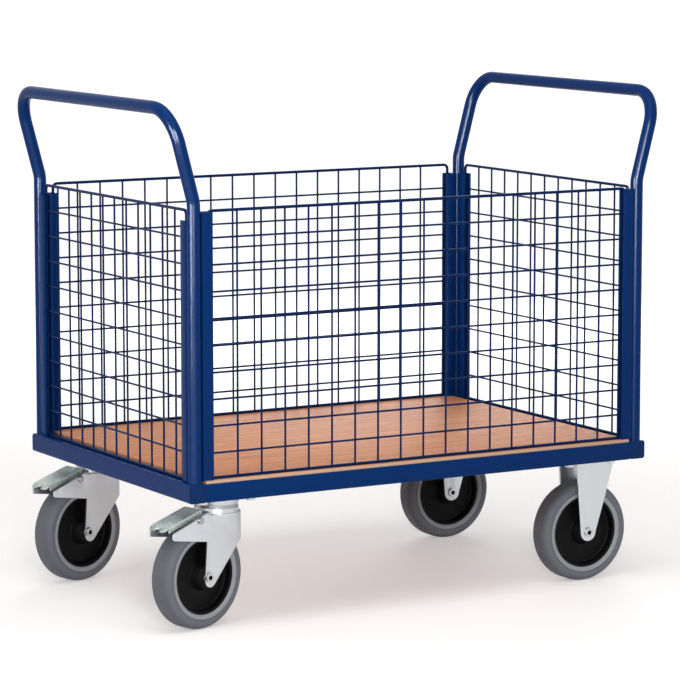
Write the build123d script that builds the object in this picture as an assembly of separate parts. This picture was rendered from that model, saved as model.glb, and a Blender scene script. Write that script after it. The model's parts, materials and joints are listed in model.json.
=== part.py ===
from build123d import *
import os
from math import hypot, radians, tan

# Four-sided mesh trolley, millimetres. +Z is up and the floor is Z = 0.
# X runs along the platform: the swivel castors are at -X (left), the fixed ones at +X (right).
# Y runs across it: the front side is -Y, the rear side is +Y.

# Platform frame
platform_length = 1020.0
platform_width = 686.0
end_rail_size = 36.0
end_rail_wall = 2.5
end_rail_corner = 5.0
end_cap_thickness = 3.0
end_cap_plug = 12.0
end_cap_clearance = 0.2
long_rail_height = 34.0
long_rail_depth = 30.0
long_rail_wall = 3.0
beam_sheet = 4.0
centre_beam_width = 60.0

# Deck board
deck_thickness = 6.5
deck_side_inset = 2.0

# Push handles, one bent tube at each end
tube_diameter = 25.0
tube_wall = 2.0
tube_bore_sides = 8
handle_height = 990.0
handle_kink_height = 806.0
handle_lean = 15.0
handle_bend_radius = 65.0
handle_kink_radius = 60.0

# Welded wire walls that plug into lipped channels beside the posts
border_wire = 6.0
mesh_wire = 4.0
wire_sides = 8
mesh_pitch_across = 50.4
mesh_pitch_up = 50.0
rear_mesh_shift = -7.5
long_wall_height = 502.0
end_wall_height = 507.0
wall_corner_radius = 12.0
channel_width = 20.0
channel_depth = 22.0
channel_sheet = 2.0
channel_slot = 10.0
channel_drop = 21.0
front_channel_drop = 4.0
wall_end_clearance = 1.5
weld_gap = 0.2

# Wheels: tyre, moulded centre, bearing and axle
wheel_diameter = 200.0
tyre_width = 50.0
tyre_shoulder = 9.0
tyre_lip = 6.0
rim_width = 44.0
rim_diameter = 144.0
rim_wall = 6.0
rim_web = 14.0
hub_diameter = 46.0
hub_side_gap = 1.0
bearing_diameter = 30.0
sleeve_diameter = 20.0
running_clearance = 0.05
axle_diameter = 12.0
axle_head_diameter = 18.0
axle_head_height = 4.0
axle_socket_across_flats = 8.0
axle_socket_depth = 6.0
axle_nut_across_flats = 19.0
axle_nut_height = 10.0
axle_hole_clearance = 0.05

# Castor plates and their bolts
castor_height = 250.0
castor_inset_along = 101.0
castor_inset_across = 86.0
plate_length = 140.0
plate_width = 110.0
plate_thickness = 5.0
plate_corner_radius = 12.0
bolt_spacing_along = 100.0
bolt_spacing_across = 86.0
bolt_head_across_flats = 17.0
bolt_head_height = 6.4
bolt_nut_height = 8.0

# Fork cheeks, the same sheet and spacing on all four castors
cheek_gap = 60.0
cheek_thickness = 4.0

# Fixed bracket: reach of its cheeks to the left and right of the axle, from top to tip
fixed_axle_offset = 3.5
bracket_shoulder_height = 235.0
bracket_shoulder_left = 27.5
bracket_shoulder_right = 58.0
bracket_waist_height = 170.0
bracket_waist_left = 23.5
bracket_waist_right = 39.5
bracket_tip_radius = 17.5

# Swivel head and fork
trail = 52.0
rest_swivel = 16.0
crown_clearance = 12.0
crown_thickness = 5.0
crown_radius = 45.0
crown_back_reach = 52.0
fork_tip_radius = 13.5
fork_tip_forward = 4.0
fork_tip_drop = 5.5
fork_back_reach = 1.0
fork_front_reach = 31.0
fork_front_height = 164.0
skirt_height = 168.0
skirt_top_reach = 55.0
skirt_top_height = 223.0
skirt_end_reach = 141.5
skirt_end_top = 194.0
skirt_end_bottom = 181.5
skirt_end_radius = 4.0
race_outer_radius = 42.0
race_inner_radius = 28.0
lower_race_height = 9.0
swivel_ring_height = 6.0
swivel_ring_setback = 2.0
swivel_ring_gap = 0.3
kingpin_diameter = 14.0
kingpin_clearance = 0.05
kingpin_nut_across_flats = 24.0
kingpin_nut_height = 10.0
kingpin_end = 2.0
kingpin_seat_gap = 0.3

# Brake pedal over the trailing side of the swivel wheel; reaches are behind the swivel axis
pedal_width = 46.0
pedal_sheet = 3.0
pedal_inner_reach = 60.0
pedal_inner_height = 229.0
pedal_bend_reach = 142.0
pedal_bend_height = 206.5
pedal_tip_reach = 156.0
pedal_tip_height = 199.0
pedal_tip_radius = 11.0
pedal_notch_radius = 8.0
pedal_lug_drop = 22.0
pedal_lug_radius = 9.0
pedal_flange_drop = 12.0
pedal_travel = 14.0
pivot_reach = 72.0
pivot_height = 210.5
pivot_pin_diameter = 8.0
pivot_pin_head_diameter = 13.0
pivot_pin_head_height = 2.5
shoe_width = 38.0
shoe_from = 92.0
shoe_to = 116.0
shoe_gap = 1.5

# Heights and places that follow from the driving dimensions
half_length = platform_length / 2
half_width = platform_width / 2
tube_radius = tube_diameter / 2
long_rail_top = castor_height + long_rail_height
end_rail_top = castor_height + end_rail_size
deck_top = long_rail_top + deck_thickness
deck_half_length = half_length - end_rail_size
beam_half_length = half_width - long_rail_depth
beam_width = 2 * (castor_inset_along - end_rail_size)
post_x = half_length - end_rail_size / 2
post_y = half_width - tube_radius
channel_start = tube_radius + weld_gap
channel_lip_inside = channel_start + channel_depth - channel_sheet
wire_from_post = channel_lip_inside - wall_end_clearance - border_wire / 2
castor_x = half_length - castor_inset_along
castor_y = half_width - castor_inset_across
wheel_radius = wheel_diameter / 2
rim_radius = rim_diameter / 2
cheek_inner = cheek_gap / 2
cheek_outer = cheek_inner + cheek_thickness
half_hub = cheek_inner - hub_side_gap
plate_underside = castor_height - plate_thickness
crown_underside = wheel_diameter + crown_clearance
crown_top = crown_underside + crown_thickness
swivel_ring_bottom = crown_top + lower_race_height
upper_race_underside = swivel_ring_bottom + swivel_ring_height + swivel_ring_gap
pedal_slope = (pedal_inner_height - pedal_bend_height) / (pedal_bend_reach - pedal_inner_reach)
pedal_sheet_upright = pedal_sheet * hypot(1, pedal_slope)
standing = (Align.CENTER, Align.CENTER, Align.MIN)
hanging = (Align.CENTER, Align.CENTER, Align.MAX)

pieces = {}


def upright(outline, thickness):
    """A flat piece from an outline drawn in X and Z, centred on Y = 0."""
    return extrude(Plane.XZ * outline, thickness / 2, both=True)


def polygon(*points):
    """A closed flat face through the given corners."""
    return make_face(Polyline(*points, close=True))


def turned(*profile):
    """A ring turned about the wheel axle; the profile's corners are (radius, side)."""
    return Pos(0, 0, wheel_radius) * revolve(polygon(*profile), Axis.Y)


def hexagon_prism(across_flats, height):
    """A hexagon standing on Z = 0."""
    return extrude(RegularPolygon(across_flats / 2, 6, major_radius=False), height)


def along_y(shape):
    """Turns a shape that stands on Z = 0 so that it points along +Y."""
    return Rot(X=-90) * shape


# Platform frame

def make_end_rail():
    """A square tube across the platform, short of its caps, at X = 0."""
    inside = end_rail_size - 2 * end_rail_wall
    section = RectangleRounded(end_rail_size, end_rail_size, end_rail_corner)
    section -= RectangleRounded(inside, inside, end_rail_corner - end_rail_wall)
    length = platform_width - 2 * end_cap_thickness
    return Pos(0, 0, castor_height + end_rail_size / 2) * upright(section, length)


def make_end_cap():
    """A cap with a plug for the front end of a square tube, at X = 0."""
    inside = end_rail_size - 2 * end_rail_wall - 2 * end_cap_clearance
    cap = extrude(RectangleRounded(end_rail_size, end_rail_size, end_rail_corner), end_cap_thickness)
    cap += Pos(0, 0, end_cap_thickness) * extrude(Rectangle(inside - end_rail_corner, inside), end_cap_plug)
    return Pos(0, -half_width, castor_height + end_rail_size / 2) * along_y(cap)


def make_long_rail():
    """Front long rail: a channel between the end rails, open inwards."""
    section = Rectangle(long_rail_depth, long_rail_height, align=Align.MIN)
    section -= Pos(long_rail_wall, long_rail_wall) * Rectangle(
        long_rail_depth, long_rail_height - 2 * long_rail_wall, align=Align.MIN)
    rail = extrude(Plane.YZ * section, 2 * deck_half_length)
    return Pos(-deck_half_length, -half_width, castor_height) * rail


def make_beam(width):
    """A cross beam between the long rails: a channel, open upwards, that carries the deck."""
    section = Rectangle(width, long_rail_height, align=(Align.CENTER, Align.MIN))
    section -= Pos(0, beam_sheet) * Rectangle(width - 2 * beam_sheet, long_rail_height,
                                              align=(Align.CENTER, Align.MIN))
    return Pos(0, 0, castor_height) * upright(section, 2 * beam_half_length)


# Deck

def make_deck():
    """The deck board, on the long rails and beams."""
    board = Box(2 * deck_half_length, platform_width - 2 * deck_side_inset, deck_thickness, align=standing)
    return Pos(0, 0, long_rail_top) * board


# Handles and walls

def make_handle():
    """Left push handle: two posts that lean outwards above the walls, and the bar between them."""
    bar_height = handle_height - tube_radius
    bar_x = -post_x - (bar_height - handle_kink_height) * tan(radians(handle_lean))
    path = FilletPolyline((-post_x, -post_y, end_rail_top), (-post_x, -post_y, handle_kink_height),
                          (bar_x, -post_y, bar_height), (bar_x, post_y, bar_height),
                          (-post_x, post_y, handle_kink_height), (-post_x, post_y, end_rail_top),
                          radius=[handle_kink_radius, handle_bend_radius, handle_bend_radius,
                                  handle_kink_radius])
    section = Circle(tube_radius) - RegularPolygon(tube_radius - tube_wall, tube_bore_sides)
    return sweep(Plane(path @ 0, z_dir=path % 0) * section, path=path)


def make_channel(bottom, top):
    """A lipped channel standing beside a post at the origin, with its slot towards +X."""
    inside_depth = channel_depth - 2 * channel_sheet
    section = Rectangle(channel_depth, channel_width, align=(Align.MIN, Align.CENTER))
    section -= Pos(channel_sheet, 0) * Rectangle(inside_depth, channel_width - 2 * channel_sheet,
                                                 align=(Align.MIN, Align.CENTER))
    slot = Rectangle(channel_depth, channel_slot, align=(Align.MIN, Align.CENTER))
    section -= Pos(channel_depth / 2, 0) * slot
    return Pos(channel_start, 0, bottom) * extrude(section, top - bottom)


def make_wire(length):
    """A mesh wire along +Z, its section an octagon with flats on all four sides."""
    section = Rot(Z=180 / wire_sides) * RegularPolygon(mesh_wire / 2, wire_sides, major_radius=False)
    return extrude(section, length)


def make_wall(span, height, mesh_shift=0.0):
    """A welded mesh wall across X, standing on Z = 0: a border wire and two layers of mesh wires.

    The span is measured between the middles of the border's upright wires. The upright mesh wires
    lie on the -Y side and the level ones on the +Y side, and they touch where they cross. The mesh
    is cut from a larger mat, so its upright wires may be off the wall's middle by a shift."""
    inside = span - border_wire
    top = height - border_wire / 2
    upright_count = round(span / mesh_pitch_across) - 1
    level_count = round((height - border_wire) / mesh_pitch_up) - 1
    outline = Rectangle(span + border_wire, height, align=(Align.CENTER, Align.MIN))
    outline = fillet(outline.vertices().group_by(Axis.Y)[-1], wall_corner_radius)
    opening = Rectangle(inside, height - 2 * border_wire, align=(Align.CENTER, Align.MIN))
    opening = fillet(opening.vertices().group_by(Axis.Y)[-1], wall_corner_radius - border_wire)
    border = upright(outline - Pos(0, border_wire) * opening, border_wire)
    upright_wire = make_wire(height - 2 * border_wire)
    level_wire = Rot(Y=90) * make_wire(inside)
    first = mesh_shift - mesh_pitch_across * (upright_count - 1) / 2
    uprights = [Pos(first + mesh_pitch_across * i, -mesh_wire / 2, border_wire) * upright_wire
                for i in range(upright_count)]
    levels = [Pos(-inside / 2, mesh_wire / 2, top - mesh_pitch_up * (i + 1)) * level_wire
              for i in range(level_count)]
    return Compound([border] + uprights + levels)


def add_walls():
    """The four walls and the channels that hold them, named for the side they stand on."""
    end_channel = make_channel(end_rail_top, end_rail_top + end_wall_height - channel_drop)
    end_wall = make_wall(2 * (post_y - wire_from_post), end_wall_height)
    end_wall = Pos(0, 0, end_rail_top) * Rot(Z=90) * end_wall
    for name, side, mesh_shift, drop in (("front", -1, 0.0, front_channel_drop),
                                         ("rear", 1, rear_mesh_shift, channel_drop)):
        long_wall = make_wall(2 * (post_x - wire_from_post), long_wall_height, mesh_shift)
        long_channel = make_channel(deck_top, deck_top + long_wall_height - drop)
        pieces[f"{name}_wall"] = Pos(0, side * post_y, deck_top) * long_wall
        pieces[f"{name}_wall_channels"] = Compound([
            Pos(-post_x, side * post_y, 0) * long_channel,
            Pos(post_x, side * post_y, 0) * Rot(Z=180) * long_channel])
    for name, side in (("left", -1), ("right", 1)):
        pieces[f"{name}_wall"] = Pos(side * post_x, 0, 0) * end_wall
        pieces[f"{name}_wall_channels"] = Compound([
            Pos(side * post_x, -post_y, 0) * Rot(Z=90) * end_channel,
            Pos(side * post_x, post_y, 0) * Rot(Z=-90) * end_channel])


# Wheels, with the axle over the origin

def make_tyre():
    """Solid rubber tyre: a lip that slopes out from the rim, flat sides, sloping shoulders and a tread."""
    side, bead, half_tread = tyre_width / 2, rim_width / 2, tyre_width / 2 - tyre_shoulder
    lip_radius, side_radius = rim_radius + tyre_lip, wheel_radius - tyre_shoulder
    return turned((rim_radius, -bead), (lip_radius, -side), (side_radius, -side), (wheel_radius, -half_tread),
                  (wheel_radius, half_tread), (side_radius, side), (lip_radius, side), (rim_radius, bead))


def make_wheel_centre():
    """Moulded wheel centre: rim, recessed web and hub."""
    half_rim, half_web = rim_width / 2, rim_web / 2
    bore, hub_radius, well = bearing_diameter / 2, hub_diameter / 2, rim_radius - rim_wall
    return turned((bore, -half_hub), (hub_radius, -half_hub), (hub_radius, -half_web), (well, -half_web),
                  (well, -half_rim), (rim_radius, -half_rim), (rim_radius, half_rim), (well, half_rim),
                  (well, half_web), (hub_radius, half_web), (hub_radius, half_hub), (bore, half_hub))


def make_roller_cage():
    """Roller cage between the hub and the axle sleeve."""
    inside, outside = sleeve_diameter / 2 + running_clearance, bearing_diameter / 2
    return turned((inside, -half_hub), (outside, -half_hub), (outside, half_hub), (inside, half_hub))


def make_axle_sleeve():
    """Spacer tube that the cheeks clamp on the axle bolt."""
    inside, outside = axle_diameter / 2 + axle_hole_clearance, sleeve_diameter / 2
    return turned((inside, -cheek_inner), (outside, -cheek_inner), (outside, cheek_inner),
                  (inside, cheek_inner))


def make_axle_bolt():
    """Axle bolt with a low socket head on the front side and its cap nut on the rear side."""
    bolt = Cylinder(axle_diameter / 2, 2 * cheek_outer, align=standing)
    bolt += Cylinder(axle_head_diameter / 2, axle_head_height, align=hanging)
    bolt -= Pos(0, 0, -axle_head_height) * hexagon_prism(axle_socket_across_flats, axle_socket_depth)
    nut = Pos(0, 0, 2 * cheek_outer) * hexagon_prism(axle_nut_across_flats, axle_nut_height)
    axle = Pos(0, -cheek_outer, wheel_radius)
    return Compound([axle * along_y(bolt), axle * along_y(nut)])


# Castor plates, bolts and fixed brackets

def plate_bolt_places():
    """Bolt places of all four castor plates."""
    half_along, half_across = bolt_spacing_along / 2, bolt_spacing_across / 2
    return [(end * castor_x + along * half_along, side * castor_y + across * half_across)
            for end in (-1, 1) for side in (-1, 1) for along in (-1, 1) for across in (-1, 1)]


def make_plate():
    """A castor's top plate."""
    outline = RectangleRounded(plate_length, plate_width, plate_corner_radius)
    return Pos(0, 0, plate_underside) * extrude(outline, plate_thickness)


def make_plate_bolts():
    """Heads of the bolts that come up through every castor plate."""
    head = hexagon_prism(bolt_head_across_flats, bolt_head_height)
    return Compound([Pos(*place, plate_underside - bolt_head_height) * head for place in plate_bolt_places()])


def make_plate_nuts():
    """Nuts of the castor plate bolts, inside the beams."""
    nut = hexagon_prism(bolt_head_across_flats, bolt_nut_height)
    return Compound([Pos(*place, castor_height + beam_sheet) * nut for place in plate_bolt_places()])


def cheek_pair(outline):
    """Both cheeks of a fork from one outline, with the axle hole through them."""
    hole = Pos(0, wheel_radius) * Circle(axle_diameter / 2 + axle_hole_clearance)
    cheek = upright(outline - hole, cheek_thickness)
    middle = cheek_inner + cheek_thickness / 2
    return [Pos(0, -middle, 0) * cheek, Pos(0, middle, 0) * cheek]


def make_fixed_bracket():
    """Fixed castor bracket: a plate with two cheeks folded down to the axle, which is over the origin."""
    tip = bracket_tip_radius
    outline = polygon((-bracket_shoulder_left, plate_underside),
                      (-bracket_shoulder_left, bracket_shoulder_height),
                      (-bracket_waist_left, bracket_waist_height), (-tip, wheel_radius), (tip, wheel_radius),
                      (bracket_waist_right, bracket_waist_height),
                      (bracket_shoulder_right, bracket_shoulder_height),
                      (bracket_shoulder_right, plate_underside))
    outline += Pos(0, wheel_radius) * Circle(tip)
    bracket = Pos(-fixed_axle_offset, 0, 0) * make_plate()
    for cheek in cheek_pair(outline):
        bracket += cheek
    return bracket


# Swivel head, fork and brake, with the swivel axis at the origin and the wheel trailing towards -X

def race_ring(low, high, setback=0.0):
    """A ring about the swivel axis."""
    outline = Circle(race_outer_radius - setback) - Circle(race_inner_radius + setback)
    return Pos(0, 0, low) * extrude(outline, high - low)


def make_swivel_plate():
    """Top plate with the upper race under it and a hole for the kingpin."""
    plate = make_plate() - Pos(0, 0, castor_height) * Cylinder(kingpin_diameter / 2, 4 * plate_thickness)
    return plate + race_ring(upper_race_underside, plate_underside)


def make_swivel_ring():
    """Bearing ring that stands for the balls between the two races."""
    return race_ring(swivel_ring_bottom, swivel_ring_bottom + swivel_ring_height, swivel_ring_setback)


def make_kingpin():
    """Pin held in the plate, with a nut under the fork's crown."""
    nut_bottom = crown_underside - kingpin_seat_gap - kingpin_nut_height
    pin = Cylinder(kingpin_diameter / 2, castor_height - nut_bottom + kingpin_end, align=standing)
    pin = Pos(0, 0, nut_bottom - kingpin_end) * pin
    return pin + Pos(0, 0, nut_bottom) * hexagon_prism(kingpin_nut_across_flats, kingpin_nut_height)


def make_fork():
    """Swivel fork: crown with the lower race, and two cheeks with a skirt behind that shields the brake."""
    front = trail + fork_front_reach
    tip = Pos(fork_tip_forward, wheel_radius - fork_tip_drop) * Circle(fork_tip_radius)
    leg = make_hull((tip + polygon((-fork_back_reach, crown_top), (-fork_back_reach, crown_underside),
                                   (front, fork_front_height), (front, crown_top))).edges())
    skirt = polygon((front, crown_top), (trail - crown_radius, crown_top),
                    (trail - skirt_top_reach, skirt_top_height), (trail - skirt_end_reach, skirt_end_top),
                    (trail - skirt_end_reach, skirt_end_bottom), (0, skirt_height), (front, skirt_height))
    skirt = fillet(skirt.vertices().group_by(Axis.X)[0], skirt_end_radius)
    pivot_hole = Pos(trail - pivot_reach, pivot_height) * Circle(pivot_pin_diameter / 2 + axle_hole_clearance)
    outline = leg + skirt - pivot_hole
    crown = Circle(crown_radius) + Pos((fork_front_reach - crown_back_reach) / 2, 0) * Rectangle(
        fork_front_reach + crown_back_reach, cheek_gap)
    crown -= Circle(kingpin_diameter / 2 + kingpin_clearance)
    fork = Pos(0, 0, crown_underside) * extrude(crown, crown_thickness)
    fork += race_ring(crown_top, swivel_ring_bottom)
    for cheek in cheek_pair(outline):
        fork += Pos(-trail, 0, 0) * cheek
    return fork


def pedal_top(reach):
    """Height of the pedal's upper face, between its inner end and its bend, behind the swivel axis."""
    return pedal_bend_height + pedal_slope * (pedal_bend_reach - reach)


def make_pedal():
    """Brake pedal: a sloping plate with a bent, notched nose, on two flanges with lugs for its pin."""
    fold = Polyline((-pedal_inner_reach, pedal_inner_height), (-pedal_bend_reach, pedal_bend_height),
                    (-pedal_tip_reach, pedal_tip_height))
    sheet = make_face(offset(fold, pedal_sheet, kind=Kind.INTERSECTION, side=Side.LEFT))
    length = pedal_tip_reach - pedal_inner_reach
    plan = Pos(-pedal_inner_reach, 0) * Rectangle(length, pedal_width, align=(Align.MAX, Align.CENTER))
    plan = fillet(plan.vertices().group_by(Axis.X)[0], pedal_tip_radius)
    plan -= Pos(-pedal_tip_reach, 0) * Circle(pedal_notch_radius)
    pedal = upright(sheet, pedal_width) & extrude(plan, castor_height)
    lug_end = pivot_reach + pedal_lug_radius
    flange = polygon((-pedal_inner_reach, pedal_top(pedal_inner_reach)),
                     (-pedal_inner_reach, pedal_top(pedal_inner_reach) - pedal_lug_drop),
                     (-lug_end, pedal_top(lug_end) - pedal_lug_drop),
                     (-lug_end - pedal_lug_radius, pedal_top(lug_end + pedal_lug_radius) - pedal_flange_drop),
                     (-pedal_bend_reach, pedal_bend_height - pedal_flange_drop),
                     (-pedal_bend_reach, pedal_bend_height))
    flange -= Pos(-pivot_reach, pivot_height) * Circle(pivot_pin_diameter / 2 + running_clearance)
    flange = upright(flange, pedal_sheet)
    middle = (pedal_width - pedal_sheet) / 2
    return pedal + Pos(0, -middle, 0) * flange + Pos(0, middle, 0) * flange


def make_pivot_pin():
    """Rivet through the fork's cheeks that the pedal turns on."""
    pin = Cylinder(pivot_pin_diameter / 2, 2 * cheek_outer)
    head = Cylinder(pivot_pin_head_diameter / 2, pivot_pin_head_height, align=standing)
    head = Pos(0, 0, cheek_outer) * head
    pin = pin + head + Rot(X=180) * head
    return Pos(-pivot_reach, 0, pivot_height) * along_y(pin)


def make_shoe():
    """Brake shoe under the pedal, hollowed so that it meets the tyre's round when the pedal is down."""
    block = polygon((-shoe_from, pedal_top(shoe_from) - pedal_sheet_upright),
                    (-shoe_to, pedal_top(shoe_to) - pedal_sheet_upright),
                    (-shoe_to, wheel_radius), (-shoe_from, wheel_radius))
    axle_seen_from_pedal = Pos(-pivot_reach, pivot_height) * Rot(Z=-pedal_travel) * Pos(
        pivot_reach - trail, wheel_radius - pivot_height)
    block -= axle_seen_from_pedal * Circle(wheel_radius + shoe_gap)
    return upright(block, shoe_width)


# Assembly

def add_frame():
    """Rails, beams, deck and handles."""
    rail, cap = Pos(post_x, 0, 0) * make_end_rail(), make_end_cap()
    pieces["left_end_rail"] = mirror(rail, about=Plane.YZ)
    pieces["right_end_rail"] = rail
    pieces["rail_end_caps"] = Compound([
        Pos(end * post_x, 0, 0) * one for end in (-1, 1) for one in (cap, mirror(cap, about=Plane.XZ))])
    pieces["front_long_rail"] = make_long_rail()
    pieces["rear_long_rail"] = mirror(pieces["front_long_rail"], about=Plane.XZ)
    pieces["left_castor_beam"] = Pos(-castor_x, 0, 0) * make_beam(beam_width)
    pieces["right_castor_beam"] = Pos(castor_x, 0, 0) * make_beam(beam_width)
    pieces["centre_beam"] = make_beam(centre_beam_width)
    pieces["deck_board"] = make_deck()
    pieces["left_handle"] = make_handle()
    pieces["right_handle"] = mirror(pieces["left_handle"], about=Plane.YZ)
    pieces["castor_plate_bolts"] = make_plate_bolts()
    pieces["castor_plate_nuts"] = make_plate_nuts()


def add_wheel(corner, place):
    """The turning wheel and its axle at a corner."""
    pieces[f"{corner}_tyre"] = place * make_tyre()
    pieces[f"{corner}_wheel_centre"] = place * make_wheel_centre()
    pieces[f"{corner}_roller_cage"] = place * make_roller_cage()
    pieces[f"{corner}_axle_sleeve"] = place * make_axle_sleeve()
    pieces[f"{corner}_axle_bolt"] = place * make_axle_bolt()


def add_castors():
    """Two swivel castors with brakes on the left, two fixed castors on the right."""
    for name, side in (("front", -1), ("rear", 1)):
        corner = f"{name}_left"
        plate_place = Pos(-castor_x, side * castor_y, 0)
        swivel_place = plate_place * Rot(Z=rest_swivel)
        pieces[f"{corner}_castor_plate"] = plate_place * make_swivel_plate()
        pieces[f"{corner}_kingpin"] = plate_place * make_kingpin()
        pieces[f"{corner}_swivel_ring"] = swivel_place * make_swivel_ring()
        pieces[f"{corner}_fork"] = swivel_place * make_fork()
        pieces[f"{corner}_brake_pedal"] = swivel_place * make_pedal()
        pieces[f"{corner}_brake_pin"] = swivel_place * make_pivot_pin()
        pieces[f"{corner}_brake_shoe"] = swivel_place * make_shoe()
        add_wheel(corner, swivel_place * Pos(-trail, 0, 0))
        corner = f"{name}_right"
        fixed_place = Pos(castor_x + fixed_axle_offset, side * castor_y, 0)
        pieces[f"{corner}_castor_bracket"] = fixed_place * make_fixed_bracket()
        add_wheel(corner, fixed_place)


add_frame()
add_walls()
add_castors()

# The origin is on the floor, under the middle of the whole trolley, pedals and handles included
whole = Compound(list(pieces.values())).bounding_box()
to_middle = Pos(-whole.center().X, -whole.center().Y, 0)
print("moved along X by", round(-whole.center().X, 4), "and along Y by", round(-whole.center().Y, 4))

os.makedirs("parts", exist_ok=True)
for name, piece in pieces.items():
    export_step(to_middle * piece, f"parts/{name}.step")
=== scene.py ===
import json
from math import hypot, pi, radians, tan

import bmesh
import bpy
from mathutils import Matrix, Vector

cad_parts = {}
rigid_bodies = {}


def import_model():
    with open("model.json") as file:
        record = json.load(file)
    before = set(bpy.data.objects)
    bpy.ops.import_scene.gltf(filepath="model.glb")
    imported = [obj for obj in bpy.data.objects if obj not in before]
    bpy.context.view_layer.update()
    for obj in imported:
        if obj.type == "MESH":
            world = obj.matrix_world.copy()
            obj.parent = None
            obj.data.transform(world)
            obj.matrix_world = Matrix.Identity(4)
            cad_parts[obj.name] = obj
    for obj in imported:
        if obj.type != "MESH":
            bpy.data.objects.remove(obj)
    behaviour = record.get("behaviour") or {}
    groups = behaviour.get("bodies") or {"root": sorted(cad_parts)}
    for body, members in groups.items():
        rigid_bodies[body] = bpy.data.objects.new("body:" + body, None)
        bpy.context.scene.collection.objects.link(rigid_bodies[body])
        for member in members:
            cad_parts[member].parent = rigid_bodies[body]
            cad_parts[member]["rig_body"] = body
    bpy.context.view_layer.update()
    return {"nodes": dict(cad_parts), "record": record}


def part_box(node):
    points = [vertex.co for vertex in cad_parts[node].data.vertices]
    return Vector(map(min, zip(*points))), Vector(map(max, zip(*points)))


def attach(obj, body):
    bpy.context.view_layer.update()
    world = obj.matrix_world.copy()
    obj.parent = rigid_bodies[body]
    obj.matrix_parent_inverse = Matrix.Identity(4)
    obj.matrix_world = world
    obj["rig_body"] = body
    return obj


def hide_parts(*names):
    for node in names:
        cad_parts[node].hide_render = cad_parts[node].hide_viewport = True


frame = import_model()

# The visual model of a platform trolley with four mesh walls, in metres, in the CAD model's frame.
# Steel wires, bent tubes, tyres and wheel centres are made anew; the folded and cut pieces are the
# CAD solids with rounded edges.

MM = 0.001
nodes = frame["nodes"]

# Sizes taken from the CAD model's boxes, so that the two stay together
deck_low, deck_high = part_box("deck_board")
plate_low, plate_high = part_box("front_left_castor_plate")
fixed_low, fixed_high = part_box("front_right_tyre")

middle_x = (deck_low[0] + deck_high[0]) / 2
wheel_radius = (fixed_high[0] - fixed_low[0]) / 2
tyre_half_width = (fixed_high[1] - fixed_low[1]) / 2
fixed_x = (fixed_low[0] + fixed_high[0]) / 2
swivel_x = (plate_low[0] + plate_high[0]) / 2
castor_y = -(plate_low[1] + plate_high[1]) / 2

# Sizes of the walls
border_radius = 3.0 * MM
wire_radius = 2.0 * MM
wall_bend = 9.0 * MM
foot_bend = 6.0 * MM
mesh_pitch_across = 50.4 * MM
mesh_pitch_up = 50.0 * MM
rear_mesh_shift = -7.5 * MM

# Sizes of the handles
tube_radius = 12.5 * MM
handle_lean = radians(15.0)
kink_bend = 60.0 * MM
corner_bend = 65.0 * MM

# Sizes of the swivel castors, brake pedals and axle bolts
trail = 52.0 * MM
rest_swivel = radians(16.0)
pedal_bend_reach = 142.0 * MM
pedal_nose = 14.0 * MM
darkening_at_bend = 0.35
pedal_edge_round = 0.8 * MM
bolt_edge_round = 0.8 * MM

# Sizes of the wheel centres
rim_radius = 72.0 * MM
rim_half_width = 22.0 * MM
rim_draft = 1.0 * MM
rim_edge_round = 2.0 * MM
well_radius = 66.0 * MM
well_round = 5.0 * MM
web_half = 7.0 * MM
hub_radius = 23.0 * MM
hub_half_width = 29.0 * MM
hub_end_taper = 3.0 * MM
hub_end_round = 2.0 * MM
hub_foot_spread = 4.0 * MM
hub_foot_rise = 3.0 * MM
hub_foot_round = 4.0 * MM
bearing_radius = 15.0 * MM

# Sizes of the tyres
tyre_lip = 6.0 * MM
bead_inner_round = 2.5 * MM
bead_outer_round = 2.0 * MM
hollow_from_bead = 4.5 * MM
hollow_depth = 1.6 * MM
hollow_round = 2.0 * MM
tyre_shoulder = 9.0 * MM
side_draft = 0.4 * MM
side_round = 10.0 * MM
tread_round = 11.0 * MM

# How finely rounds are cut
wire_sides = 10
border_sides = 12
tube_sides = 40
bend_step = radians(9.0)
tyre_steps = 96
centre_steps = 72
corner_segments = 5
edge_segments = 2
flat_angle = radians(1.0)
sharp_angle = radians(40.0)
merge_distance = 0.005 * MM
seam_distance = 0.01 * MM


# Materials

def linear(hex_colour):
    """A linear colour from an sRGB hex value."""
    parts = [int(hex_colour[i:i + 2], 16) / 255 for i in (1, 3, 5)]
    bent = [c / 12.92 if c <= 0.04045 else ((c + 0.055) / 1.055) ** 2.4 for c in parts]
    return (*bent, 1.0)


# Colour sockets of a Mix node, which share their names with its other sockets
MIX_FIRST, MIX_SECOND, MIX_RESULT = 6, 7, 2


def add_node(tree, kind, settings, links):
    """Adds a node with its settings, and links sockets of other nodes to its inputs."""
    node = tree.nodes.new(kind)
    for name, value in settings.items():
        if name in node.inputs:
            node.inputs[name].default_value = value
        else:
            setattr(node, name, value)
    for name, socket in links.items():
        tree.links.new(socket, node.inputs[name])
    return node


def new_finish(name, settings):
    """A material with a principled surface, and the object coordinates that its patterns follow."""
    material = bpy.data.materials.new(name)
    material.use_nodes = True
    tree = material.node_tree
    surface = tree.nodes["Principled BSDF"]
    for socket, value in settings.items():
        surface.inputs[socket].default_value = value
    place = add_node(tree, "ShaderNodeTexCoord", {}, {}).outputs["Object"]
    return material, tree, surface, place


def fine_relief(tree, surface, place, size, depth):
    """Small bumps of the given size all over a surface."""
    bumps = add_node(tree, "ShaderNodeTexNoise", {"Scale": 1 / size, "Detail": 2.0}, {"Vector": place})
    relief = add_node(tree, "ShaderNodeBump", {"Distance": depth}, {"Height": bumps.outputs["Fac"]})
    tree.links.new(relief.outputs["Normal"], surface.inputs["Normal"])


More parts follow.
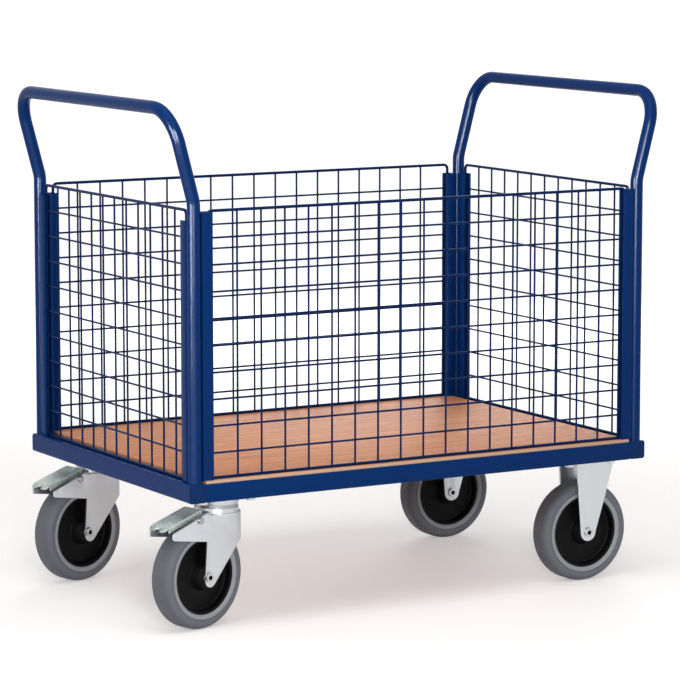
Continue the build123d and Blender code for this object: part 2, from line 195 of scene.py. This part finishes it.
def clouds(tree, place, socket, size, low, high):
    """Lets a surface value drift between two levels in soft patches of the given size."""
    patches = add_node(tree, "ShaderNodeTexNoise", {"Scale": 1 / size, "Detail": 3.0}, {"Vector": place})
    level = add_node(tree, "ShaderNodeMapRange",
                     {"From Min": 0.3, "From Max": 0.7, "To Min": low, "To Max": high},
                     {"Value": patches.outputs["Fac"]})
    tree.links.new(level.outputs["Result"], socket)


def powder_coat():
    """Gentian blue powder coat, sprayed on steel and baked: glossy, with a faint orange peel. The walls'
    wires get a darker blue as painted shade, and the mesh tells where that is."""
    material, tree, surface, place = new_finish("powder_coated_steel", {
        "IOR": 1.5, "Specular IOR Level": 0.05})
    painted_wire_shade = add_node(tree, "ShaderNodeAttribute", {"attribute_name": "painted_wire_shade"}, {})
    tone = add_node(tree, "ShaderNodeValToRGB", {}, {"Fac": painted_wire_shade.outputs["Fac"]})
    # The second, darker blue is painted shade on the walls' wires.
    tone.color_ramp.elements[0].color = linear("#06306A")
    tone.color_ramp.elements[1].color = linear("#052554")
    tree.links.new(tone.outputs["Color"], surface.inputs["Base Color"])
    clouds(tree, place, surface.inputs["Roughness"], size=40.0 * MM, low=0.18, high=0.26)
    fine_relief(tree, surface, place, size=2.5 * MM, depth=0.012 * MM)
    return material


def cap_plastic():
    """Polyethylene plugs in the frame's blue, moulded: satin, with a finely eroded skin."""
    material, tree, surface, place = new_finish("blue_polyethylene", {
        "Base Color": linear("#072C5F"), "IOR": 1.51, "Specular IOR Level": 0.1})
    clouds(tree, place, surface.inputs["Roughness"], size=15.0 * MM, low=0.4, high=0.5)
    fine_relief(tree, surface, place, size=0.8 * MM, depth=0.01 * MM)
    return material


def beech_board():
    """Board with a printed beech film: salmon brown, with broad growth bands and short darker dashes along
    the trolley, and a satin gloss. The long edges carry a paler banding. The dashes are drawn some three
    times as coarse as the print's, to show at all."""
    material, tree, surface, place = new_finish("beech_decor_board", {
        "Roughness": 0.5, "IOR": 1.5, "Specular IOR Level": 0.05})
    stretched = add_node(tree, "ShaderNodeMapping", {"Scale": (0.05, 1.0, 1.0)}, {"Vector": place})
    grain = add_node(tree, "ShaderNodeTexNoise", {"Scale": 1 / (10.0 * MM), "Detail": 5.0, "Roughness": 0.65},
                     {"Vector": stretched.outputs["Vector"]})
    wood = add_node(tree, "ShaderNodeValToRGB", {}, {"Fac": grain.outputs["Fac"]})
    wood.color_ramp.elements[0].position = 0.32
    wood.color_ramp.elements[0].color = linear("#CF8256")
    wood.color_ramp.elements[1].position = 0.68
    wood.color_ramp.elements[1].color = linear("#F1AB82")
    dash_place = add_node(tree, "ShaderNodeMapping", {"Scale": (0.18, 1.0, 1.0)}, {"Vector": place})
    dashes = add_node(tree, "ShaderNodeTexNoise", {"Scale": 1 / (2.5 * MM), "Detail": 1.0},
                      {"Vector": dash_place.outputs["Vector"]})
    dash = add_node(tree, "ShaderNodeMapRange", {"From Min": 0.56, "From Max": 0.68, "To Max": 0.4},
                    {"Value": dashes.outputs["Fac"]})
    film = add_node(tree, "ShaderNodeMix", {"data_type": "RGBA"}, {"Factor": dash.outputs["Result"]})
    film.inputs[MIX_SECOND].default_value = linear("#A9683F")
    tree.links.new(wood.outputs["Color"], film.inputs[MIX_FIRST])
    facing = add_node(tree, "ShaderNodeNewGeometry", {}, {})
    sideways = add_node(tree, "ShaderNodeSeparateXYZ", {}, {"Vector": facing.outputs["True Normal"]})
    across = add_node(tree, "ShaderNodeMath", {"operation": "ABSOLUTE"}, {0: sideways.outputs["Y"]})
    long_edge = add_node(tree, "ShaderNodeMath", {"operation": "GREATER_THAN"}, {0: across.outputs["Value"]})
    banding = add_node(tree, "ShaderNodeMix", {"data_type": "RGBA"}, {"Factor": long_edge.outputs["Value"]})
    banding.inputs[MIX_SECOND].default_value = linear("#CFAE94")
    tree.links.new(film.outputs[MIX_RESULT], banding.inputs[MIX_FIRST])
    tree.links.new(banding.outputs[MIX_RESULT], surface.inputs["Base Color"])
    return material


def zinc_plating():
    """Bright zinc plating on pressed steel: pale, with soft reflections and faint clouding."""
    material, tree, surface, place = new_finish("zinc_plated_steel", {
        "Base Color": linear("#CFD4D8"), "Metallic": 1.0})
    clouds(tree, place, surface.inputs["Roughness"], size=22.0 * MM, low=0.27, high=0.42)
    fine_relief(tree, surface, place, size=1.5 * MM, depth=0.006 * MM)
    return material


def nose_darkened_zinc():
    """Dull passivated zinc of the brake pedals: greenish grey, and darker in uneven patches out towards the
    tip of the nose. The mesh tells how far out on the nose a point lies."""
    material, tree, surface, place = new_finish("dull_passivated_zinc", {"Metallic": 1.0})
    nose = add_node(tree, "ShaderNodeAttribute", {"attribute_name": "nose_darkening"}, {})
    dark_patches = add_node(tree, "ShaderNodeTexNoise", {"Scale": 1 / (6.0 * MM), "Detail": 3.0}, {"Vector": place})
    uneven = add_node(tree, "ShaderNodeMapRange", {"From Min": 0.3, "From Max": 0.6},
                      {"Value": dark_patches.outputs["Fac"]})
    # Darker in uneven patches, more so towards the tip of the nose.
    nose_dark_patches = add_node(tree, "ShaderNodeMath", {"operation": "MULTIPLY"},
                    {0: nose.outputs["Fac"], 1: uneven.outputs["Result"]})
    tone = add_node(tree, "ShaderNodeValToRGB", {}, {"Fac": nose_dark_patches.outputs["Value"]})
    tone.color_ramp.elements[0].color = linear("#D6E0DA")
    tone.color_ramp.elements[1].color = linear("#8A918D")
    tree.links.new(tone.outputs["Color"], surface.inputs["Base Color"])
    clouds(tree, place, surface.inputs["Roughness"], size=18.0 * MM, low=0.44, high=0.6)
    return material


def bolt_zinc():
    """Bright zinc on the axle bolts and their nuts, with painted shade in the key socket. The mesh tells how
    many millimetres from the axle a point lies."""
    material, tree, surface, place = new_finish("zinc_plated_bolt", {"Metallic": 1.0})
    from_axis = add_node(tree, "ShaderNodeAttribute", {"attribute_name": "from_axis"}, {})
    outside = add_node(tree, "ShaderNodeMapRange", {"From Min": 4.7, "From Max": 5.3},
                       {"Value": from_axis.outputs["Fac"]})
    tone = add_node(tree, "ShaderNodeValToRGB", {}, {"Fac": outside.outputs["Result"]})
    # The near black inside the key socket is painted shade.
    tone.color_ramp.elements[0].color = linear("#1A1816")
    tone.color_ramp.elements[1].color = linear("#C3C6C8")
    tree.links.new(tone.outputs["Color"], surface.inputs["Base Color"])
    clouds(tree, place, surface.inputs["Roughness"], size=8.0 * MM, low=0.25, high=0.38)
    return material


def turned_steel():
    """Bare steel of pins, sleeves and rings, turned and oiled: darker than the zinc, with a closer shine."""
    material, tree, surface, place = new_finish("turned_steel", {
        "Base Color": linear("#A9AAAB"), "Metallic": 1.0})
    clouds(tree, place, surface.inputs["Roughness"], size=8.0 * MM, low=0.24, high=0.36)
    return material


def tyre_rubber():
    """Grey non-marking rubber, pressed in a mould: matt, with a faint grit, a paler lip beside the rim and a
    running surface darkened with painted shade. The mesh tells how far out on the tyre a point lies."""
    material, tree, surface, place = new_finish("grey_solid_rubber", {"IOR": 1.52, "Specular IOR Level": 0.3})
    outward = add_node(tree, "ShaderNodeAttribute", {"attribute_name": "outward"}, {})
    bands = add_node(tree, "ShaderNodeValToRGB", {}, {"Fac": outward.outputs["Fac"]})
    bands.color_ramp.elements[0].position = 0.26
    bands.color_ramp.elements[0].color = linear("#9DA1A7")
    # The dark grey at the running surface is painted shade.
    bands.color_ramp.elements[1].position = 0.92
    bands.color_ramp.elements[1].color = linear("#5E6168")
    for position, colour in ((0.35, "#666A71"), (0.5, "#70747B"), (0.7, "#6C7077")):
        bands.color_ramp.elements.new(position).color = linear(colour)
    tree.links.new(bands.outputs["Color"], surface.inputs["Base Color"])
    clouds(tree, place, surface.inputs["Roughness"], size=30.0 * MM, low=0.52, high=0.68)
    fine_relief(tree, surface, place, size=1.8 * MM, depth=0.03 * MM)
    return material


def shoe_rubber():
    """Black rubber of the brake shoes: matt and slightly rough."""
    material, tree, surface, place = new_finish("black_brake_rubber", {
        "Base Color": linear("#1B1B1C"), "Roughness": 0.7, "IOR": 1.52})
    fine_relief(tree, surface, place, size=1.2 * MM, depth=0.03 * MM)
    return material


def wheel_plastic():
    """Black polypropylene of the wheel centres, moulded: satin, with a finely eroded skin."""
    material, tree, surface, place = new_finish("black_polypropylene", {
        "Base Color": linear("#08080A"), "IOR": 1.49, "Specular IOR Level": 0.12})
    clouds(tree, place, surface.inputs["Roughness"], size=20.0 * MM, low=0.44, high=0.58)
    fine_relief(tree, surface, place, size=0.9 * MM, depth=0.012 * MM)
    return material


finishes = {
    "blue_powder_coat": powder_coat(),
    "blue_plastic": cap_plastic(),
    "beech_board": beech_board(),
    "zinc_plated_steel": zinc_plating(),
    "bright_steel": turned_steel(),
    "grey_rubber": tyre_rubber(),
    "black_rubber": shoe_rubber(),
    "black_plastic": wheel_plastic(),
    "dull_zinc": nose_darkened_zinc(),
    "axle_zinc": bolt_zinc(),
}
slots = {entry["node"]: entry["material_slot"] for entry in frame["record"]["subparts"]}


# Making pieces

def finish_piece(bm, name, node, smooth_angle=35.0):
    """Turns a bmesh into a piece that stands for a CAD node, in that node's material."""
    mesh = bpy.data.meshes.new(name)
    for face in bm.faces:
        face.smooth = True
    bm.to_mesh(mesh)
    bm.free()
    mesh.set_sharp_from_angle(angle=radians(smooth_angle))
    piece = bpy.data.objects.new(name, mesh)
    bpy.context.scene.collection.objects.link(piece)
    mesh.materials.append(finishes[slots[node]])
    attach(piece, nodes[node]["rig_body"])
    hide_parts(node)
    return piece


def rounded_solid(node, edge_radius):
    """A copy of a CAD solid with small rounded edges, as on folded, cut or moulded pieces."""
    bm = bmesh.new()
    bm.from_mesh(nodes[node].data)
    bmesh.ops.remove_doubles(bm, verts=bm.verts, dist=merge_distance)
    bmesh.ops.dissolve_limit(bm, angle_limit=flat_angle, verts=bm.verts, edges=bm.edges)
    sharp = [edge for edge in bm.edges if edge.is_manifold and edge.calc_face_angle() > sharp_angle]
    bmesh.ops.bevel(bm, geom=sharp, offset=edge_radius, offset_type="OFFSET", affect="EDGES",
                    segments=edge_segments, profile=0.5, material=-1, clamp_overlap=True)
    return bm


def rod(bm, start, end, radius):
    """A straight wire between two points."""
    start, end = Vector(start), Vector(end)
    turn = (end - start).to_track_quat("Z", "Y").to_matrix().to_4x4()
    bmesh.ops.create_cone(bm, cap_ends=True, segments=wire_sides, radius1=radius, radius2=radius,
                          depth=(end - start).length, matrix=Matrix.Translation((start + end) / 2) @ turn)


def bent_tube(bm, corners, bends, radius, sides, closed=False):
    """A round tube along straight lines, bent at each inner corner with the given bend radius."""
    corners = [Vector(corner) for corner in corners]
    heading = (corners[1] - corners[0]).normalized()
    turn = heading.to_track_quat("Z", "Y").to_matrix().to_4x4()
    made = bmesh.ops.create_circle(bm, cap_ends=False, segments=sides, radius=radius,
                                   matrix=Matrix.Translation(corners[0]) @ turn)
    ring = made["verts"]
    place = corners[0]
    for corner, after, bend in zip(corners[1:], corners[2:] + [None], bends + [0.0]):
        onward = (after - corner).normalized() if after else heading
        angle = heading.angle(onward)
        setback = bend * tan(angle / 2)
        edges = [edge for edge in bm.edges if all(vert in ring for vert in edge.verts)]
        made = bmesh.ops.extrude_edge_only(bm, edges=edges)["geom"]
        ring = [item for item in made if isinstance(item, bmesh.types.BMVert)]
        bmesh.ops.translate(bm, verts=ring, vec=corner - heading * setback - place)
        place = corner - heading * setback
        if angle > flat_angle:
            axis = heading.cross(onward).normalized()
            centre = place + axis.cross(heading) * bend
            edges = [edge for edge in bm.edges if all(vert in ring for vert in edge.verts)]
            made = bmesh.ops.spin(bm, geom=ring + edges, cent=centre, axis=axis, angle=angle,
                                  steps=max(3, round(angle / bend_step)))["geom_last"]
            ring = [item for item in made if isinstance(item, bmesh.types.BMVert)]
            place = corner + onward * setback
            heading = onward
    if closed:
        bmesh.ops.remove_doubles(bm, verts=bm.verts, dist=seam_distance)
    else:
        bmesh.ops.holes_fill(bm, edges=bm.edges, sides=sides)
    bmesh.ops.recalc_face_normals(bm, faces=bm.faces)


def turned_ring(profile, steps):
    """A ring turned about the Y axis; each of the profile's corners is (radius, side, rounding)."""
    bm = bmesh.new()
    corners = [bm.verts.new((radius, side, 0)) for radius, side, _ in profile]
    for i, corner in enumerate(corners):
        bm.edges.new((corner, corners[i - 1]))
    for corner, (_, _, rounding) in zip(corners, profile):
        if rounding:
            before, after = [edge.other_vert(corner).co - corner.co for edge in corner.link_edges]
            setback = rounding / tan(before.angle(after) / 2)
            bmesh.ops.bevel(bm, geom=[corner], offset=setback, offset_type="OFFSET", affect="VERTICES",
                            segments=corner_segments, profile=0.5, material=-1)
    bmesh.ops.spin(bm, geom=list(bm.verts) + list(bm.edges), cent=(0, 0, 0), axis=(0, 1, 0), angle=2 * pi,
                   steps=steps, use_merge=True)
    bmesh.ops.remove_doubles(bm, verts=bm.verts, dist=merge_distance)
    bmesh.ops.recalc_face_normals(bm, faces=bm.faces)
    return bm


# Walls of welded wire

def wire_wall(node, across, mesh_shift):
    """A mesh wall: a bent border wire with upright wires on one side and level wires on the other."""
    low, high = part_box(node)
    along, through = (0, 1) if across == "x" else (1, 0)
    middle = (low[through] + high[through]) / 2
    left, right = low[along] + border_radius, high[along] - border_radius
    bottom, top = low[2] + border_radius, high[2] - border_radius
    upright_count = round((right - left) / mesh_pitch_across) - 1
    level_count = round((top - bottom) / mesh_pitch_up) - 1
    side = 1 if across == "x" else -1

    def point(along_value, height, offset=0.0):
        """A point on the wall, offset through it."""
        place = [0.0, 0.0, height]
        place[along] = along_value
        place[through] = middle + offset * side
        return place

    bm = bmesh.new()
    centre = (left + right) / 2
    bent_tube(bm, [point(centre, bottom), point(right, bottom), point(right, top), point(left, top),
                   point(left, bottom), point(centre, bottom)],
              [foot_bend, wall_bend, wall_bend, foot_bend], border_radius, border_sides, closed=True)
    for i in range(upright_count):
        place = centre + mesh_shift + mesh_pitch_across * (i - (upright_count - 1) / 2)
        rod(bm, point(place, bottom, -wire_radius), point(place, top, -wire_radius), wire_radius)
    for i in range(level_count):
        height = top - mesh_pitch_up * (i + 1)
        rod(bm, point(left, height, wire_radius), point(right, height, wire_radius), wire_radius)
    # Marks every wire of the wall for the coat's painted shade.
    painted_wire_shade = bm.verts.layers.float.new("painted_wire_shade")
    for vert in bm.verts:
        vert[painted_wire_shade] = 1.0
    return finish_piece(bm, f"{node}_wires", node, smooth_angle=50.0)


wire_wall("front_wall", "x", 0.0)
wire_wall("rear_wall", "x", rear_mesh_shift)
wire_wall("left_wall", "y", 0.0)
wire_wall("right_wall", "y", 0.0)


# Push handles of bent tube

def push_handle(node, end):
    """Two posts that lean outwards above the walls, joined by a bar."""
    low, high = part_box(node)
    post_x = (high[0] if end < 0 else low[0]) + end * tube_radius
    bar_x = (low[0] if end < 0 else high[0]) - end * tube_radius
    front, rear = low[1] + tube_radius, high[1] - tube_radius
    bar_z = high[2] - tube_radius
    kink_z = bar_z - abs(bar_x - post_x) / tan(handle_lean)
    bm = bmesh.new()
    bent_tube(bm, [(post_x, front, low[2]), (post_x, front, kink_z), (bar_x, front, bar_z),
                   (bar_x, rear, bar_z), (post_x, rear, kink_z), (post_x, rear, low[2])],
              [kink_bend, corner_bend, corner_bend, kink_bend], tube_radius, tube_sides)
    return finish_piece(bm, f"{node}_tube", node)


handles = [push_handle("left_handle", -1), push_handle("right_handle", 1)]


# Wheels

def swivel_place(corner):
    """Where a swivel castor's axis meets the floor and how the castor is turned at rest."""
    side = -1 if corner.startswith("front") else 1
    return Matrix.Translation((swivel_x, side * castor_y, 0)) @ Matrix.Rotation(rest_swivel, 4, "Z")


def wheel_place(corner):
    """Where a wheel's middle is and how the wheel is turned at rest."""
    if corner.endswith("left"):
        return swivel_place(corner) @ Matrix.Translation((-trail, 0, wheel_radius))
    side = -1 if corner.startswith("front") else 1
    return Matrix.Translation((fixed_x, side * castor_y, wheel_radius))


def rubber_tyre(corner):
    """Solid tyre: a round bead that slopes out from the rim, a slight hollow, sides and round shoulders."""
    node = f"{corner}_tyre"
    half, outer = tyre_half_width, wheel_radius
    bead = rim_radius + tyre_lip
    near_side = [(rim_radius, rim_half_width, 0), (bead - bead_inner_round, half, bead_inner_round),
                 (bead + bead_outer_round, half, bead_outer_round),
                 (bead + hollow_from_bead, half - hollow_depth, hollow_round),
                 (outer - tyre_shoulder, half - side_draft, side_round),
                 (outer, half - tyre_shoulder, tread_round)]
    far_side = [(radius, -side, rounding) for radius, side, rounding in reversed(near_side)]
    bm = turned_ring(near_side + far_side, tyre_steps)
    outward = bm.verts.layers.float.new("outward")
    for vert in bm.verts:
        vert[outward] = (hypot(vert.co.x, vert.co.z) - rim_radius) / (outer - rim_radius)
    bmesh.ops.transform(bm, matrix=wheel_place(corner), verts=bm.verts)
    return finish_piece(bm, f"{node}_rubber", node)


def moulded_centre(corner):
    """Black wheel centre: a flat rim, a dished web and a hub."""
    node = f"{corner}_wheel_centre"
    rim, web, hub = rim_half_width, web_half, hub_half_width
    near_side = [(bearing_radius, hub, 0), (hub_radius - hub_end_taper, hub, hub_end_round),
                 (hub_radius + hub_foot_spread, web + hub_foot_rise, hub_foot_round),
                 (well_radius, web, well_round), (well_radius + rim_draft, rim, rim_edge_round),
                 (rim_radius, rim, 0)]
    far_side = [(radius, -side, rounding) for radius, side, rounding in reversed(near_side)]
    bm = turned_ring(near_side + far_side, centre_steps)
    bmesh.ops.transform(bm, matrix=wheel_place(corner), verts=bm.verts)
    return finish_piece(bm, f"{node}_moulding", node)


def axle_bolt(corner):
    """A low round bolt head with a key socket, and the nut on the other side."""
    node = f"{corner}_axle_bolt"
    bm = rounded_solid(node, bolt_edge_round)
    to_wheel = wheel_place(corner).inverted()
    from_axis = bm.verts.layers.float.new("from_axis")
    for vert in bm.verts:
        place = to_wheel @ vert.co
        vert[from_axis] = hypot(place.x, place.z) / MM
    return finish_piece(bm, f"{node}_steel", node)


for wheel in ("front_left", "rear_left", "front_right", "rear_right"):
    rubber_tyre(wheel)
    moulded_centre(wheel)
    axle_bolt(wheel)


# Brake pedals, the CAD solids with rounded edges and a nose drawn darker

def brake_pedal(corner):
    """A pressed pedal whose nose is drawn darker towards its tip."""
    node = f"{corner}_brake_pedal"
    bm = rounded_solid(node, pedal_edge_round)
    to_castor = swivel_place(corner).inverted()
    nose_darkening = bm.verts.layers.float.new("nose_darkening")
    for vert in bm.verts:
        # How far out on the nose a point lies, for the darker nose.
        beyond_bend = -(to_castor @ vert.co).x - pedal_bend_reach
        vert[nose_darkening] = min(max(beyond_bend / pedal_nose + darkening_at_bend, 0.0), 1.0)
    return finish_piece(bm, f"{node}_pressing", node)


brake_pedal("front_left")
brake_pedal("rear_left")


# Folded, cut and moulded pieces keep the CAD solids' shapes

edge_radii = {
    "rail_end_caps": 1.2, "front_long_rail": 1.0, "rear_long_rail": 1.0, "left_castor_beam": 1.0,
    "right_castor_beam": 1.0, "centre_beam": 1.0, "deck_board": 1.0, "castor_plate_bolts": 0.8,
    "castor_plate_nuts": 0.8,
}
for side in ("front", "rear", "left", "right"):
    edge_radii[f"{side}_wall_channels"] = 0.6
for corner in ("front_left", "rear_left"):
    edge_radii[f"{corner}_castor_plate"] = 1.0
    edge_radii[f"{corner}_fork"] = 1.0
    edge_radii[f"{corner}_brake_pin"] = 0.8
    edge_radii[f"{corner}_brake_shoe"] = 1.5
for corner in ("front_right", "rear_right"):
    edge_radii[f"{corner}_castor_bracket"] = 1.0
for node, radius in edge_radii.items():
    finish_piece(rounded_solid(node, radius * MM), f"{node}_rounded", node)
for name, node in nodes.items():
    node.data.materials.clear()
    node.data.materials.append(finishes[slots[name]])


# Floor, light and camera

def seen_or_mirrored(tree):
    """A value of 1 for what the camera sees, straight, in a reflection or through glass, and 0 for the light
    that falls on matt surfaces."""
    path = add_node(tree, "ShaderNodeLightPath", {}, {})
    mirrored = add_node(tree, "ShaderNodeMath", {"operation": "MAXIMUM"},
                        {0: path.outputs["Is Glossy Ray"], 1: path.outputs["Is Transmission Ray"]})
    seen = add_node(tree, "ShaderNodeMath", {"operation": "MAXIMUM"},
                    {0: path.outputs["Is Camera Ray"], 1: mirrored.outputs["Value"]})
    return seen.outputs["Value"]


def make_floor():
    """A white paper floor with the trolley's shadow on it. Away from the trolley, where the lamps don't
    reach, it glows more, so that the camera and reflections see it as white all over."""
    bm = bmesh.new()
    bmesh.ops.create_grid(bm, x_segments=1, y_segments=1, size=90.0)
    mesh = bpy.data.meshes.new("studio_floor")
    bm.to_mesh(mesh)
    bm.free()
    floor = bpy.data.objects.new("studio_floor", mesh)
    bpy.context.scene.collection.objects.link(floor)
    paper, tree, surface, place = new_finish("white_backdrop_paper", {
        "Base Color": linear("#F4EFEE"), "Roughness": 0.9, "Specular IOR Level": 0.1,
        "Emission Color": (1, 1, 1, 1)})
    distance = add_node(tree, "ShaderNodeVectorMath", {"operation": "LENGTH"}, {0: place})
    glow = add_node(tree, "ShaderNodeMapRange",
                    {"From Min": 1.0, "From Max": 4.5, "To Min": 0.33, "To Max": 0.8,
                     "interpolation_type": "SMOOTHSTEP"},
                    {"Value": distance.outputs["Value"]})
    shown = add_node(tree, "ShaderNodeMath", {"operation": "MULTIPLY"},
                     {0: glow.outputs["Result"], 1: seen_or_mirrored(tree)})
    tree.links.new(shown.outputs["Value"], surface.inputs["Emission Strength"])
    mesh.materials.append(paper)


def make_world():
    """White surroundings for the camera and for reflections, and an even light for everything else."""
    world = bpy.data.worlds.new("studio")
    bpy.context.scene.world = world
    world.use_nodes = True
    tree = world.node_tree
    background = tree.nodes["Background"]
    background.inputs["Color"].default_value = (1, 1, 1, 1)
    level = add_node(tree, "ShaderNodeMapRange", {"To Min": 0.3, "To Max": 1.0},
                     {"Value": seen_or_mirrored(tree)})
    tree.links.new(level.outputs["Result"], background.inputs["Strength"])


def make_lamp(name, place, target, size, power, streaks_on=None):
    """A square soft lamp that points at a target. Given a list of pieces, it only draws a streak on their
    gloss."""
    data = bpy.data.lights.new(name, "AREA")
    data.size = size
    data.energy = power
    lamp = bpy.data.objects.new(name, data)
    lamp.location = place
    lamp.rotation_euler = (Vector(target) - Vector(place)).to_track_quat("-Z", "Y").to_euler()
    lamp.visible_camera = False
    if streaks_on:
        lamp.visible_diffuse = False
        lamp.light_linking.receiver_collection = bpy.data.collections.new(name)
        for piece in streaks_on:
            lamp.light_linking.receiver_collection.objects.link(piece)
    bpy.context.scene.collection.objects.link(lamp)


def make_camera():
    """A long lens a little above the walls, looking at the front side and the left end."""
    sensor_width = 36.0
    focal_pixels = 3337.0
    picture_pixels = 680.0
    look_down = 7.697
    look_right = 30.045
    data = bpy.data.cameras.new("camera")
    data.sensor_width = sensor_width
    data.lens = sensor_width * focal_pixels / picture_pixels
    data.clip_end = 200.0
    camera = bpy.data.objects.new("camera", data)
    camera.location = (-3.2971 + middle_x, -5.7142, 1.3730)
    camera.rotation_euler = (radians(90.0 - look_down), 0.0, radians(-look_right))
    bpy.context.scene.collection.objects.link(camera)
    bpy.context.scene.camera = camera


make_floor()
make_world()
make_lamp("overhead softbox", place=(-0.8, -1.2, 3.4), target=(0.0, 0.0, 0.3), size=2.6, power=48.0)
make_lamp("front softbox", place=(-2.1, -4.3, 1.5), target=(0.0, 0.0, 0.6), size=0.6, power=72.0)
make_lamp("left softbox", place=(-3.8, -0.9, 1.5), target=(0.0, 0.0, 0.5), size=1.4, power=26.0)
make_lamp("left streak lamp", place=(-2.3, -0.9, 0.85), target=(-0.4, -0.2, 0.7), size=1.0, power=420.0,
          streaks_on=handles)
make_lamp("front streak lamp", place=(-2.35, -3.5, 1.35), target=(0.5, 0.0, 0.9), size=1.8, power=1500.0,
          streaks_on=handles)
make_lamp("rear softbox", place=(2.6, 3.4, 1.9), target=(0.0, 0.0, 0.5), size=2.2, power=50.0)
make_camera()
bpy.context.scene.view_settings.view_transform = "Standard"
